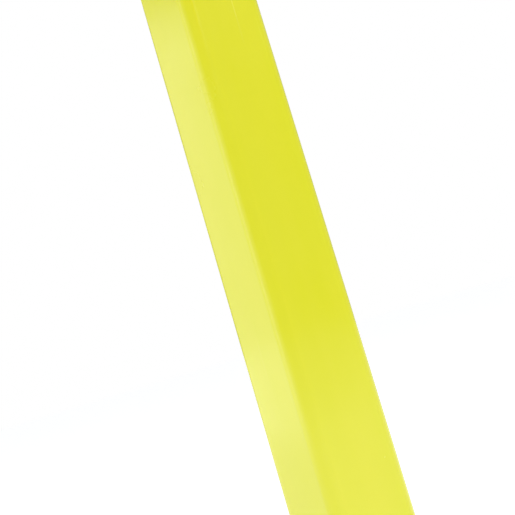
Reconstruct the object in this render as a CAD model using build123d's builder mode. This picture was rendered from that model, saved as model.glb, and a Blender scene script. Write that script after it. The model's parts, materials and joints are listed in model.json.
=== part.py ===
from build123d import *
import math
import os

os.makedirs("parts", exist_ok=True)

# A windsock on a telescopic square mast with a base plate. Millimetres, +Z up, the origin at the centre of
# the base plate's underside, the limp sock towards +X.

# ---------------------------------------------------------------- clearances
pin_clearance = 0.05  # radial, round a screw or shaft in its hole
thread_clearance = 0.1  # radial, round a screw in a tapped hole
bearing_fit = 0.02  # radial, round a bearing ring
plug_clearance = 0.2  # each side, round a plug in a tube
slide_clearance = 0.3  # each side, round the guide shoe
socket_clearance = 1.0  # each side, round the lower mast in its socket
collar_clearance = 0.5  # each side, round the upper mast in the collar
fabric_clearance = 0.5  # between the wire frame and the sock
eyelet_clearance = 0.3  # between an eyelet's flanges and the cloth
pad_gap = 0.2  # between a clamp pad and the mast, and between the pad and its stud
pad_undersize = 0.2  # radial, a clamp pad against its stud
mast_gap = 2.0  # each side, between the two masts
seal_gap = 0.3  # radial, round the lower seal
washer_clearance = 1.5  # radial, between the spindle washer and the outer bearing ring
arm_gap = 3.0  # between the swivel tube and the hoop arms

# ---------------------------------------------------------------- base
plate_side = 300.0
plate_thickness = 10.0
plate_corner = 25.0
plate_chamfer = 1.5
anchor_pitch = 240.0
anchor_hole = 14.0
drain_hole = 16.0
socket_wall = 4.0
socket_corner = 9.0
socket_height = 160.0
socket_edge = 0.8
gusset_leg = 50.0
gusset_nose = 8.0
gusset_thickness = 6.0
gusset_edge = 0.6
boss_wall = 7.0
boss_length = 12.0
boss_edge = 1.0
base_clamp_height = 120.0

# ---------------------------------------------------------------- clamp screws
stud_diameter = 10.0
stud_chamfer = 0.8
pad_length = 4.0
pad_chamfer = 0.4
knob_standoff = 6.0
knob_hub_wall = 6.0
knob_hub_length = 10.0
knob_diameter = 50.0
knob_thickness = 18.0
knob_lobes = 5
knob_scallop = 10.0
knob_scallop_depth = 5.0
knob_edge = 3.0
knob_face = 6.0  # solid thickness in front of the stud
knob_recess_diameter = 20.0
knob_recess = 1.2

# ---------------------------------------------------------------- lower mast
lower_side = 50.0
lower_wall = 3.0
lower_corner = 7.0
lower_length = 850.0
foot_flange = 4.0
foot_shank = 35.0
foot_drain = 12.0
collar_wall = 8.0
collar_corner = 12.0
collar_skirt = 50.0
collar_head = 40.0
collar_edge = 2.0
insert_wall = 2.0

# ---------------------------------------------------------------- upper mast
upper_wall = 2.5
upper_corner = 5.6
upper_length = 520.0
upper_insertion = 220.0
shoe_height = 20.0
shoe_shank = 25.0
head_flange = 8.0
head_edge = 1.2
head_shank = 40.0

# ---------------------------------------------------------------- button-head screws
screw_diameter = 5.0
screw_head = 9.5
screw_head_height = 2.75
screw_crown = 4.5  # diameter of the flat on top of the domed head
screw_key = 3.0  # across the flats
screw_key_depth = 1.5
screw_tip_clearance = 0.2
head_screw_bite = 6.0

# ---------------------------------------------------------------- spindle and bearings
spindle_diameter = 16.0
spindle_collar_height = 6.0
spindle_thread = 12.0
bearing_bore = 15.0
bearing_outside = 32.0
bearing_width = 9.0
bearing_shoulder = 2.0
ring_wall = 2.5
ball_seat = 0.63  # depth of a ball in each ring's groove
ball_count = 9
race_clearance = 0.1
spacer_wall = 1.9
washer_thickness = 2.5
nut_width = 19.0
nut_height = 10.0
thread_above_nut = 3.5
seal_wall = 2.7
seal_height = 4.5
seal_below_bearing = 0.5

# ---------------------------------------------------------------- swivel head
tube_wall = 5.0  # outside the bearings
tube_edge = 0.6
tube_gap = 3.0  # between the mast head and the swivel tube
tube_above_bearing = 14.0
cap_clearance = 0.3
cap_skirt_wall = 3.7
cap_skirt = 12.0
cap_step = 2.0
cap_wall = 3.0
cap_rise = 15.0
cap_rest = 3.0  # width of the ledge that sits on the tube
cap_screw_diameter = 4.0
cap_screw_bite = 4.0
lug_overlap = 26.0  # along the arm
lug_height = 28.0
lug_thickness = 6.0
lug_corner = 5.0
lug_above_tube_foot = 19.0
lug_below_cap = 11.0
lug_edge = 0.6
arm_thickness = 5.0
arm_height = 18.0
arm_saddle_clearance = 0.4
arm_edge = 0.5
arm_bolt_diameter = 6.0
arm_bolt_head = 10.0
arm_bolt_head_height = 4.0
arm_bolt_offsets = (6.0, 18.0)  # from the arm's inner end
arm_nut_height = 5.0
arm_bolt_tip = 1.0

# ---------------------------------------------------------------- wire frame and sock
mouth_diameter = 250.0
tail_diameter = 125.0
sock_length = 900.0
cloth = 1.6
front_hoop_x = 75.0
front_rod = 8.0
rear_hoop_x = 375.0
rear_rod = 6.0
brace_rod = 6.0
brace_gap = 0.3
hoop_to_mouth = 8.0
throat_past_hoop = 6.0
eyelet_count = 8
eyelet_behind_hoop = 11.0
eyelet_flange = 16.0
eyelet_bore = 8.0
eyelet_barrel_wall = 0.6
eyelet_sheet = 0.6
tie_width = 4.8
tie_thickness = 1.3
tie_gap = 0.6
tie_corner = 3.0
tie_head = 7.0
tie_head_height = 4.0
# The limp tail turns down about a line near the rear hoop's top.
droop_angle = 67.0
droop_behind_hoop = 14.0
droop_above_axis = 64.0
knee_length = 178.0  # from the turning line to the start of the tail, along the sock
tail_start_depth = 140.0
tail_start_width = 124.0
tail_end_depth = 112.0
tail_end_width = 96.0
tail_solid_length = 400.0
knee_depth = 156.0
knee_width = 168.0
knee_tilt = 30.0
knee_centre_x = 48.0
knee_centre_z = 49.5

# ---------------------------------------------------------------- places worked out from the sizes above
socket_side = lower_side + 2 * socket_clearance + 2 * socket_wall
boss_diameter = stud_diameter + 2 * boss_wall
knob_hub_diameter = stud_diameter + 2 * knob_hub_wall
pad_diameter = stud_diameter - 2 * pad_undersize
insert_diameter = stud_diameter + 2 * insert_wall
lower_bottom = plate_thickness + foot_flange
lower_top = lower_bottom + lower_length
collar_side = lower_side + 2 * collar_wall
collar_bottom = lower_top - collar_skirt
collar_clamp_height = lower_top + collar_head / 2
collar_screw_height = lower_top - collar_skirt / 2
upper_side = lower_side - 2 * lower_wall - 2 * mast_gap
upper_bottom = lower_top - upper_insertion
mast_top = upper_bottom + upper_length
head_screw_height = mast_top - head_shank / 2
head_top = mast_top + head_flange
inner_ring_outside = bearing_bore + 2 * ring_wall
outer_ring_inside = bearing_outside - 2 * ring_wall
ball_diameter = (outer_ring_inside - inner_ring_outside) / 2 + 2 * ball_seat
race_radius = (inner_ring_outside + outer_ring_inside) / 4
washer_diameter = outer_ring_inside - 2 * washer_clearance
seal_outside = bearing_outside - 2 * seal_gap
spindle_collar = seal_outside - 2 * seal_wall
tube_bore = bearing_outside - 2 * bearing_shoulder
tube_diameter = bearing_outside + 2 * tube_wall
cap_diameter = tube_diameter + 2 * cap_clearance + 2 * cap_skirt_wall
arm_start = tube_diameter / 2 + arm_gap
lug_reach = arm_start + lug_overlap
arm_bolt_places = [arm_start + offset for offset in arm_bolt_offsets]
sock_slope = (mouth_diameter - tail_diameter) / 2 / sock_length
sock_tilt = math.degrees(math.atan(sock_slope))
front_hoop_radius = mouth_diameter / 2 - front_rod / 2
# The lugs hold the front hoop's top and bottom, so the hoop sets the swivel tube's length.
lug_middle = front_hoop_radius - arm_height / 2
tube_bottom = head_top + tube_gap
sock_axis = tube_bottom + lug_above_tube_foot + lug_height / 2 + lug_middle
tube_top = sock_axis + lug_middle + lug_height / 2 + lug_below_cap + cap_skirt
lower_bearing = head_top + spindle_collar_height
upper_bearing_top = tube_top - tube_above_bearing
upper_bearing = upper_bearing_top - bearing_width
nut_bottom = upper_bearing_top + washer_thickness
spindle_top = nut_bottom + nut_height + thread_above_nut
cloth_at_front_hoop = mouth_diameter / 2 + fabric_clearance
cloth_at_rear_hoop = cloth_at_front_hoop - sock_slope * (rear_hoop_x - front_hoop_x)
rear_hoop_radius = cloth_at_rear_hoop - fabric_clearance - rear_rod / 2
mouth_x = front_hoop_x - hoop_to_mouth
throat_end_x = rear_hoop_x + throat_past_hoop


def cloth_radius(x):
    """Inner radius of the taut sock at x."""
    return cloth_at_front_hoop - sock_slope * (x - front_hoop_x)


def save(builder, label):
    """Name a finished piece and write it."""
    builder.part.label = label
    export_step(builder.part, f"parts/{label}.step")


def tube_section(side, wall, corner):
    """Square tube with rounded corners, in the current sketch."""
    RectangleRounded(side, side, corner)
    RectangleRounded(side - 2 * wall, side - 2 * wall, corner - wall, mode=Mode.SUBTRACT)


def side_plane(quarter, distance, height):
    """Plane on one of the mast's four sides, its normal outwards and its y upwards."""
    turn = math.radians(90 * quarter)
    outwards = Vector(math.cos(turn), math.sin(turn), 0)
    along = Vector(-math.sin(turn), math.cos(turn), 0)
    return Plane(origin=outwards * distance + Vector(0, 0, height), x_dir=along, z_dir=outwards)


def sock_plane(angle, x, radius, tilt=0.0):
    """Plane at x and a radius from the sock's axis, its normal outwards and its x along the sock."""
    turn = math.radians(angle)
    lean = math.radians(tilt)
    outwards = Vector(math.sin(lean), math.cos(lean) * math.cos(turn), math.cos(lean) * math.sin(turn))
    along = Vector(math.cos(lean), -math.sin(lean) * math.cos(turn), -math.sin(lean) * math.sin(turn))
    origin = Vector(x, radius * math.cos(turn), radius * math.sin(turn) + sock_axis)
    return Plane(origin=origin, x_dir=along, z_dir=outwards)


# ================================================================ base
with BuildPart() as base_plate:
    with BuildSketch(Plane.XY):
        RectangleRounded(plate_side, plate_side, plate_corner)
    extrude(amount=plate_thickness)
    chamfer(base_plate.faces().sort_by(Axis.Z)[-1].edges(), plate_chamfer)
    with BuildSketch(Plane.XY):
        with GridLocations(anchor_pitch, anchor_pitch, 2, 2):
            Circle(anchor_hole / 2)
        Circle(drain_hole / 2)
    extrude(amount=plate_thickness, mode=Mode.SUBTRACT)
save(base_plate, "base_plate")

with BuildPart() as base_socket:
    with BuildSketch(Plane.XY.offset(plate_thickness)):
        tube_section(socket_side, socket_wall, socket_corner)
    extrude(amount=socket_height)
    chamfer(base_socket.faces().sort_by(Axis.Z)[-1].edges(), socket_edge)
    for quarter in (0, 3):
        with BuildSketch(side_plane(quarter, socket_side / 2, base_clamp_height)):
            Circle(stud_diameter / 2 + thread_clearance)
        extrude(amount=-socket_wall - socket_clearance, mode=Mode.SUBTRACT)
save(base_socket, "base_socket")

with BuildPart() as base_gussets:
    for quarter in range(4):
        middle = side_plane(quarter, socket_side / 2, plate_thickness)
        with BuildSketch(Plane(origin=middle.origin, x_dir=middle.z_dir, z_dir=-middle.x_dir)):
            Polygon(
                (0, 0),
                (gusset_leg, 0),
                (gusset_leg, gusset_nose),
                (gusset_nose, gusset_leg),
                (0, gusset_leg),
                align=None,
            )
        extrude(amount=gusset_thickness / 2, both=True)
    gusset_sides = base_gussets.faces().sort_by(SortBy.AREA)[-8:]
    chamfer([edge for side in gusset_sides for edge in side.outer_wire().edges()], gusset_edge)
save(base_gussets, "base_gussets")

with BuildPart() as socket_bosses:
    for quarter in (0, 3):
        with BuildSketch(side_plane(quarter, socket_side / 2, base_clamp_height)):
            Circle(boss_diameter / 2)
            Circle(stud_diameter / 2 + thread_clearance, mode=Mode.SUBTRACT)
        extrude(amount=boss_length)
    side_mouth = socket_bosses.faces().sort_by(Axis.X)[-1]
    front_mouth = socket_bosses.faces().sort_by(Axis.Y)[0]
    chamfer(side_mouth.edges() + front_mouth.edges(), boss_edge)
save(socket_bosses, "socket_bosses")


# ================================================================ clamp screws, three alike
def clamp_screw(name, face, bore_mouth):
    """Pad, stud and star knob; face is on the mast, and bore_mouth is the threaded bore's outer end."""
    stud_start = pad_gap + pad_length + pad_gap
    hub_start = bore_mouth + knob_standoff
    head_start = hub_start + knob_hub_length
    stud_end = head_start + knob_thickness - knob_face

    with BuildPart() as pad:
        with BuildSketch(face.offset(pad_gap)):
            Circle(pad_diameter / 2)
        extrude(amount=pad_length)
        chamfer(pad.edges().filter_by(GeomType.CIRCLE), pad_chamfer)
    save(pad, f"{name}_pad")

    with BuildPart() as stud:
        with BuildSketch(face.offset(stud_start)):
            Circle(stud_diameter / 2)
        extrude(amount=stud_end - stud_start)
        chamfer(stud.edges().filter_by(GeomType.CIRCLE), stud_chamfer)
    save(stud, f"{name}_stud")

    with BuildPart() as knob:
        with BuildSketch(face.offset(head_start)) as star:
            Circle(knob_diameter / 2)
            with PolarLocations(knob_diameter / 2 + knob_scallop - knob_scallop_depth, knob_lobes):
                Circle(knob_scallop, mode=Mode.SUBTRACT)
            fillet(star.vertices(), knob_edge)
        extrude(amount=knob_thickness)
        outer_faces = knob.faces().sort_by(Axis(face.origin, face.z_dir))
        rims = outer_faces[0].edges() + outer_faces[-1].edges()
        fillet(rims, knob_edge)
        with BuildSketch(face.offset(hub_start)):
            Circle(knob_hub_diameter / 2)
        extrude(amount=knob_hub_length + knob_edge)
        with BuildSketch(face.offset(head_start + knob_thickness)):
            Circle(knob_recess_diameter / 2)
        extrude(amount=-knob_recess, mode=Mode.SUBTRACT)
        with BuildSketch(face.offset(hub_start)):
            Circle(stud_diameter / 2 + pin_clearance)
        extrude(amount=stud_end - hub_start, mode=Mode.SUBTRACT)
    save(knob, f"{name}_knob")


base_bore_mouth = (socket_side - lower_side) / 2 + boss_length
collar_bore_mouth = (collar_side - upper_side) / 2
clamp_screw("front_clamp", side_plane(3, lower_side / 2, base_clamp_height), base_bore_mouth)
clamp_screw("side_clamp", side_plane(0, lower_side / 2, base_clamp_height), base_bore_mouth)
clamp_screw("collar_clamp", side_plane(3, upper_side / 2, collar_clamp_height), collar_bore_mouth)

# ================================================================ lower mast
with BuildPart() as lower_mast:
    with BuildSketch(Plane.XY.offset(lower_bottom)):
        tube_section(lower_side, lower_wall, lower_corner)
    extrude(amount=lower_length)
    for quarter in range(4):
        with BuildSketch(side_plane(quarter, lower_side / 2, collar_screw_height)):
            Circle(screw_diameter / 2 + pin_clearance)
        extrude(amount=-lower_wall, mode=Mode.SUBTRACT)
save(lower_mast, "lower_mast")

with BuildPart() as mast_foot:
    with BuildSketch(Plane.XY.offset(plate_thickness)):
        RectangleRounded(lower_side, lower_side, lower_corner)
    extrude(amount=foot_flange)
    foot_side = lower_side - 2 * lower_wall - 2 * plug_clearance
    with BuildSketch(Plane.XY.offset(lower_bottom)):
        RectangleRounded(foot_side, foot_side, lower_corner - lower_wall - plug_clearance)
    extrude(amount=foot_shank)
    with BuildSketch(Plane.XY.offset(plate_thickness)):
        Circle(foot_drain / 2)
    extrude(amount=foot_flange + foot_shank, mode=Mode.SUBTRACT)
save(mast_foot, "mast_foot")

with BuildPart() as mast_collar:
    with BuildSketch(Plane.XY.offset(collar_bottom)):
        RectangleRounded(collar_side, collar_side, collar_corner)
    extrude(amount=collar_skirt + collar_head)
    fillet(mast_collar.faces().sort_by(Axis.Z)[-1].edges(), collar_edge)
    fillet(mast_collar.faces().sort_by(Axis.Z)[0].edges(), collar_edge / 2)
    skirt_side = lower_side + 2 * plug_clearance
    with BuildSketch(Plane.XY.offset(collar_bottom)):
        RectangleRounded(skirt_side, skirt_side, lower_corner + plug_clearance)
    extrude(amount=collar_skirt, mode=Mode.SUBTRACT)
    opening_side = upper_side + 2 * collar_clearance
    with BuildSketch(Plane.XY.offset(lower_top)):
        RectangleRounded(opening_side, opening_side, upper_corner + collar_clearance)
    extrude(amount=collar_head, mode=Mode.SUBTRACT)
    with BuildSketch(side_plane(3, collar_side / 2, collar_clamp_height)):
        Circle(insert_diameter / 2)
    extrude(amount=-collar_side / 2 + upper_side / 2, mode=Mode.SUBTRACT)
    for quarter in range(4):
        with BuildSketch(side_plane(quarter, collar_side / 2, collar_screw_height)):
            Circle(screw_diameter / 2 + pin_clearance)
        extrude(amount=-(collar_side - lower_side) / 2, mode=Mode.SUBTRACT)
save(mast_collar, "mast_collar")

with BuildPart() as collar_insert:
    insert_length = (collar_side - upper_side) / 2 - collar_clearance
    with BuildSketch(side_plane(3, collar_side / 2, collar_clamp_height)):
        Circle(insert_diameter / 2)
        Circle(stud_diameter / 2 + thread_clearance, mode=Mode.SUBTRACT)
    extrude(amount=-insert_length)
save(collar_insert, "collar_insert")


def button_screw(face, bite):
    """Button-head screw in the current part; face is where the head sits, and bite is the shank's length."""
    section = Plane(origin=face.origin, x_dir=face.x_dir, z_dir=-face.y_dir)
    head = screw_head / 2
    crown = screw_crown / 2
    shoulder = (head + crown) / 2 + screw_head_height / 6
    with BuildSketch(section) as half:
        with BuildLine():
            Polyline((0, screw_head_height), (0, -bite), (screw_diameter / 2, -bite))
            Polyline((screw_diameter / 2, -bite), (screw_diameter / 2, 0), (head, 0))
            ThreePointArc((head, 0), (shoulder, screw_head_height * 0.62), (crown, screw_head_height))
            Line((crown, screw_head_height), (0, screw_head_height))
        make_face()
    revolve(half.sketch, axis=Axis(face.origin, face.z_dir))
    with BuildSketch(face.offset(screw_head_height)) as key:
        RegularPolygon(screw_key / 2, 6, major_radius=False)
    extrude(key.sketch, amount=-screw_key_depth, mode=Mode.SUBTRACT)


with BuildPart() as collar_screws:
    collar_screw_bite = (collar_side - lower_side) / 2 + lower_wall - screw_tip_clearance
    for quarter in range(4):
        button_screw(side_plane(quarter, collar_side / 2, collar_screw_height), collar_screw_bite)
save(collar_screws, "collar_screws")

# ================================================================ upper mast
with BuildPart() as upper_mast:
    with BuildSketch(Plane.XY.offset(upper_bottom)):
        tube_section(upper_side, upper_wall, upper_corner)
    extrude(amount=upper_length)
    for quarter in range(4):
        with BuildSketch(side_plane(quarter, upper_side / 2, head_screw_height)):
            Circle(screw_diameter / 2 + pin_clearance)
        extrude(amount=-upper_wall, mode=Mode.SUBTRACT)
save(upper_mast, "upper_mast")

upper_bore = upper_side - 2 * upper_wall
plug_side = upper_bore - 2 * plug_clearance
plug_corner = upper_corner - upper_wall - plug_clearance

with BuildPart() as guide_shoe:
    shoe_side = lower_side - 2 * lower_wall - 2 * slide_clearance
    with BuildSketch(Plane.XY.offset(upper_bottom)):
        RectangleRounded(shoe_side, shoe_side, lower_corner - lower_wall - slide_clearance)
    extrude(amount=-shoe_height)
    with BuildSketch(Plane.XY.offset(upper_bottom)):
        RectangleRounded(plug_side, plug_side, plug_corner)
    extrude(amount=shoe_shank)
save(guide_shoe, "guide_shoe")

with BuildPart() as mast_head:
    with BuildSketch(Plane.XY.offset(mast_top)):
        RectangleRounded(upper_side, upper_side, upper_corner)
    extrude(amount=head_flange)
    chamfer(mast_head.faces().sort_by(Axis.Z)[-1].edges(), head_edge)
    with BuildSketch(Plane.XY.offset(mast_top)):
        RectangleRounded(plug_side, plug_side, plug_corner)
    extrude(amount=-head_shank)
    with BuildSketch(Plane.XY.offset(mast_top - head_shank)):
        Circle(spindle_diameter / 2 + pin_clearance)
    extrude(amount=head_shank + head_flange, mode=Mode.SUBTRACT)
    for quarter in range(4):
        with BuildSketch(side_plane(quarter, plug_side / 2, head_screw_height)):
            Circle(screw_diameter / 2 + pin_clearance)
        extrude(amount=-head_screw_bite, mode=Mode.SUBTRACT)
save(mast_head, "mast_head")

with BuildPart() as head_screws:
    head_bite = upper_wall + plug_clearance + head_screw_bite - screw_tip_clearance
    for quarter in range(4):
        button_screw(side_plane(quarter, upper_side / 2, head_screw_height), head_bite)
save(head_screws, "head_screws")

with BuildPart() as spindle:
    with BuildSketch(Plane.XY.offset(mast_top - head_shank)):
        Circle(spindle_diameter / 2)
    extrude(amount=head_shank + head_flange)
    with BuildSketch(Plane.XY.offset(head_top)):
        Circle(spindle_collar / 2)
    extrude(amount=spindle_collar_height)
    with BuildSketch(Plane.XY.offset(lower_bearing)):
        Circle(bearing_bore / 2)
    extrude(amount=upper_bearing_top - lower_bearing)
    with BuildSketch(Plane.XY.offset(upper_bearing_top)):
        Circle(spindle_thread / 2)
    extrude(amount=spindle_top - upper_bearing_top)
    chamfer(spindle.edges().sort_by(Axis.Z)[-1], 1)
save(spindle, "spindle")


def bearing_ring(bottom, inner_radius, outer_radius):
    """One bearing ring with its ball groove, in the current part."""
    groove = ball_diameter / 2 + race_clearance
    with Locations((0, 0, bottom + bearing_width / 2)):
        Cylinder(outer_radius, bearing_width)
        Cylinder(inner_radius, bearing_width, mode=Mode.SUBTRACT)
        Torus(race_radius, groove, mode=Mode.SUBTRACT)


with BuildPart() as bearing_inner_rings:
    for bottom in (lower_bearing, upper_bearing):
        bearing_ring(bottom, bearing_bore / 2 + bearing_fit, inner_ring_outside / 2)
save(bearing_inner_rings, "bearing_inner_rings")

with BuildPart() as bearing_spacer:
    with BuildSketch(Plane.XY.offset(lower_bearing + bearing_width)):
        Circle(bearing_bore / 2 + thread_clearance + spacer_wall)
        Circle(bearing_bore / 2 + thread_clearance, mode=Mode.SUBTRACT)
    extrude(amount=upper_bearing - lower_bearing - bearing_width)
save(bearing_spacer, "bearing_spacer")

with BuildPart() as spindle_washer:
    with BuildSketch(Plane.XY.offset(upper_bearing_top)):
        Circle(washer_diameter / 2)
        Circle(spindle_thread / 2 + thread_clearance, mode=Mode.SUBTRACT)
    extrude(amount=washer_thickness)
save(spindle_washer, "spindle_washer")

with BuildPart() as spindle_nut:
    with BuildSketch(Plane.XY.offset(nut_bottom)):
        RegularPolygon(nut_width / 2, 6, major_radius=False)
        Circle(spindle_thread / 2 + thread_clearance, mode=Mode.SUBTRACT)
    extrude(amount=nut_height)
save(spindle_nut, "spindle_nut")

with BuildPart() as swivel_seal:
    with BuildSketch(Plane.XY.offset(lower_bearing - seal_below_bearing)):
        Circle(seal_outside / 2)
        Circle(spindle_collar / 2 + bearing_fit, mode=Mode.SUBTRACT)
    extrude(amount=-seal_height)
save(swivel_seal, "swivel_seal")

# ================================================================ swivel head
with BuildPart() as swivel_tube:
    with BuildSketch(Plane.XY.offset(tube_bottom)):
        Circle(tube_diameter / 2)
        Circle(tube_bore / 2, mode=Mode.SUBTRACT)
    extrude(amount=tube_top - tube_bottom)
    with BuildSketch(Plane.XY.offset(tube_bottom)):
        Circle(bearing_outside / 2 + bearing_fit)
    extrude(amount=lower_bearing + bearing_width - tube_bottom, mode=Mode.SUBTRACT)
    with BuildSketch(Plane.XY.offset(upper_bearing)):
        Circle(bearing_outside / 2 + bearing_fit)
    extrude(amount=tube_top - upper_bearing, mode=Mode.SUBTRACT)
    chamfer(swivel_tube.faces().sort_by(Axis.Z)[0].edges(), tube_edge)
    cap_screw_height = tube_top - cap_skirt / 2
    for quarter in (1, 3):
        with BuildSketch(side_plane(quarter, tube_diameter / 2, cap_screw_height)):
            Circle(cap_screw_diameter / 2 + pin_clearance)
        extrude(amount=-(tube_diameter - bearing_outside) / 2, mode=Mode.SUBTRACT)
save(swivel_tube, "swivel_tube")

with BuildPart() as bearing_outer_rings:
    for bottom in (lower_bearing, upper_bearing):
        bearing_ring(bottom, outer_ring_inside / 2, bearing_outside / 2)
save(bearing_outer_rings, "bearing_outer_rings")

with BuildPart() as bearing_balls:
    for bottom in (lower_bearing, upper_bearing):
        with Locations((0, 0, bottom + bearing_width / 2)):
            with PolarLocations(race_radius, ball_count):
                Sphere(ball_diameter / 2)
save(bearing_balls, "bearing_balls")


def dome_middle(radius, rise, base):
    """Point half way up a spherical dome's outline."""
    sphere = (radius**2 + rise**2) / (2 * rise)
    half = math.asin(radius / sphere) / 2
    return (sphere * math.sin(half), base + rise - sphere * (1 - math.cos(half)))


with BuildPart() as rain_cap:
    cap_inside = tube_diameter / 2 + cap_clearance
    cap_ledge = tube_diameter / 2 - cap_rest
    dome_base = tube_top + cap_step
    with BuildSketch(Plane.XZ):
        with BuildLine():
            Line((cap_inside, tube_top - cap_skirt), (cap_diameter / 2, tube_top - cap_skirt))
            Line((cap_diameter / 2, tube_top - cap_skirt), (cap_diameter / 2, dome_base))
            ThreePointArc(
                (cap_diameter / 2, dome_base),
                dome_middle(cap_diameter / 2, cap_rise, dome_base),
                (0, dome_base + cap_rise),
            )
            Line((0, dome_base + cap_rise), (0, dome_base + cap_rise - cap_wall))
            ThreePointArc(
                (0, dome_base + cap_rise - cap_wall),
                dome_middle(cap_ledge, cap_rise - cap_wall, dome_base),
                (cap_ledge, dome_base),
            )
            Line((cap_ledge, dome_base), (cap_ledge, tube_top))
            Line((cap_ledge, tube_top), (cap_inside, tube_top))
            Line((cap_inside, tube_top), (cap_inside, tube_top - cap_skirt))
        make_face()
    revolve(axis=Axis.Z)
    for quarter in (1, 3):
        with BuildSketch(side_plane(quarter, tube_diameter / 2, cap_screw_height)):
            Circle(cap_screw_diameter / 2 + pin_clearance)
        extrude(amount=(cap_diameter - tube_diameter) / 2, mode=Mode.SUBTRACT)
save(rain_cap, "rain_cap")

with BuildPart() as cap_screws:
    for quarter in (1, 3):
        with BuildSketch(side_plane(quarter, tube_diameter / 2 - cap_screw_bite, cap_screw_height)):
            Circle(cap_screw_diameter / 2)
        extrude(amount=cap_screw_bite + (cap_diameter - tube_diameter) / 2)
        with BuildSketch(side_plane(quarter, cap_diameter / 2, cap_screw_height)):
            Circle(cap_screw_diameter * 0.9)
        extrude(amount=cap_screw_diameter / 2)
save(cap_screws, "cap_screws")

arm_saddle = front_rod / 2 + arm_saddle_clearance

with BuildPart() as swivel_lugs:
    for sign in (1, -1):
        with BuildSketch(Plane.XZ):
            with Locations((lug_reach / 2, sock_axis + sign * lug_middle)):
                Rectangle(lug_reach, lug_height)
            with Locations(*[(x, sock_axis + sign * lug_middle) for x in arm_bolt_places]):
                Circle(arm_bolt_diameter / 2 + pin_clearance, mode=Mode.SUBTRACT)
        extrude(amount=lug_thickness / 2, both=True)
    outer_edges = swivel_lugs.edges().filter_by(Axis.Y).group_by(Axis.X)[-1]
    fillet(outer_edges, lug_corner)
    lug_sides = swivel_lugs.faces().filter_by(Axis.Y)
    chamfer([edge for side in lug_sides for edge in side.outer_wire().edges()], lug_edge)
    with BuildSketch(Plane.XY.offset(tube_bottom)):
        Circle(tube_diameter / 2 + bearing_fit)
    extrude(amount=tube_top - tube_bottom, mode=Mode.SUBTRACT)
save(swivel_lugs, "swivel_lugs")

with BuildPart() as hoop_arms:
    for sign in (1, -1):
        arm_end = front_hoop_x + arm_saddle
        with BuildSketch(Plane.XZ.offset(-lug_thickness / 2)):
            with Locations(((arm_start + arm_end) / 2, sock_axis + sign * lug_middle)):
                Rectangle(arm_end - arm_start, arm_height)
            with Locations((front_hoop_x, sock_axis + sign * front_hoop_radius)):
                Circle(arm_saddle, mode=Mode.SUBTRACT)
            with Locations(*[(x, sock_axis + sign * lug_middle) for x in arm_bolt_places]):
                Circle(arm_bolt_diameter / 2 + pin_clearance, mode=Mode.SUBTRACT)
        extrude(amount=-arm_thickness)
    arm_sides = hoop_arms.faces().filter_by(Axis.Y)
    chamfer([edge for side in arm_sides for edge in side.outer_wire().edges()], arm_edge)
save(hoop_arms, "hoop_arms")

bolt_points = [(x, sign * lug_middle) for sign in (1, -1) for x in arm_bolt_places]

with BuildPart() as arm_bolts:
    for x, z in bolt_points:
        with BuildSketch(Plane.XZ.offset(lug_thickness / 2)):
            with Locations((x, sock_axis + z)):
                RegularPolygon(arm_bolt_head / 2, 6, major_radius=False)
        extrude(amount=arm_bolt_head_height)
        with BuildSketch(Plane.XZ.offset(lug_thickness / 2)):
            with Locations((x, sock_axis + z)):
                Circle(arm_bolt_diameter / 2)
        extrude(amount=-(lug_thickness + arm_thickness + arm_nut_height + arm_bolt_tip))
save(arm_bolts, "arm_bolts")

with BuildPart() as arm_nuts:
    for x, z in bolt_points:
        with BuildSketch(Plane.XZ.offset(-lug_thickness / 2 - arm_thickness)):
            with Locations((x, sock_axis + z)):
                RegularPolygon(arm_bolt_head / 2, 6, major_radius=False)
                Circle(arm_bolt_diameter / 2 + pin_clearance, mode=Mode.SUBTRACT)
        extrude(amount=-arm_nut_height)
save(arm_nuts, "arm_nuts")

# ================================================================ wire frame
sock_line = Axis((0, 0, sock_axis), (1, 0, 0))

with BuildPart() as front_hoop:
    with BuildSketch(Plane.XZ):
        with Locations((front_hoop_x, sock_axis + front_hoop_radius)):
            Circle(front_rod / 2)
    revolve(axis=sock_line)
save(front_hoop, "front_hoop")

with BuildPart() as rear_hoop:
    with BuildSketch(Plane.XZ):
        with Locations((rear_hoop_x, sock_axis + rear_hoop_radius)):
            Circle(rear_rod / 2)
    revolve(axis=sock_line)
save(rear_hoop, "rear_hoop")

with BuildPart() as frame_rods:
    rod_front = front_hoop_radius - front_rod / 2 - brace_rod / 2 - brace_gap
    rod_rear = rear_hoop_radius - rear_rod / 2 - brace_rod / 2 - brace_gap
    for angle in (45, 135, 225, 315):
        front_end = sock_plane(angle, front_hoop_x - front_rod / 2, rod_front).origin
        rear_end = sock_plane(angle, rear_hoop_x + rear_rod / 2, rod_rear).origin
        run = rear_end - front_end
        with BuildSketch(Plane(origin=front_end, z_dir=run)):
            Circle(brace_rod / 2)
        extrude(amount=run.length)
save(frame_rods, "frame_rods")

# ================================================================ sock
eyelet_x = front_hoop_x + eyelet_behind_hoop
eyelet_angles = [(k + 0.5) * 360 / eyelet_count for k in range(eyelet_count)]
eyelet_barrel = eyelet_bore / 2 + eyelet_barrel_wall

with BuildPart() as sock_throat:
    with BuildSketch(Plane.XZ):
        Polygon(
            (mouth_x, sock_axis + cloth_radius(mouth_x)),
            (throat_end_x, sock_axis + cloth_radius(throat_end_x)),
            (throat_end_x, sock_axis + cloth_radius(throat_end_x) + cloth),
            (mouth_x, sock_axis + cloth_radius(mouth_x) + cloth),
            align=None,
        )
    revolve(axis=sock_line)
    for angle in eyelet_angles:
        with BuildSketch(sock_plane(angle, eyelet_x, cloth_radius(eyelet_x), sock_tilt)):
            Circle(eyelet_barrel + pin_clearance)
        extrude(amount=3 * cloth, both=True, mode=Mode.SUBTRACT)
save(sock_throat, "sock_throat")

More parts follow.
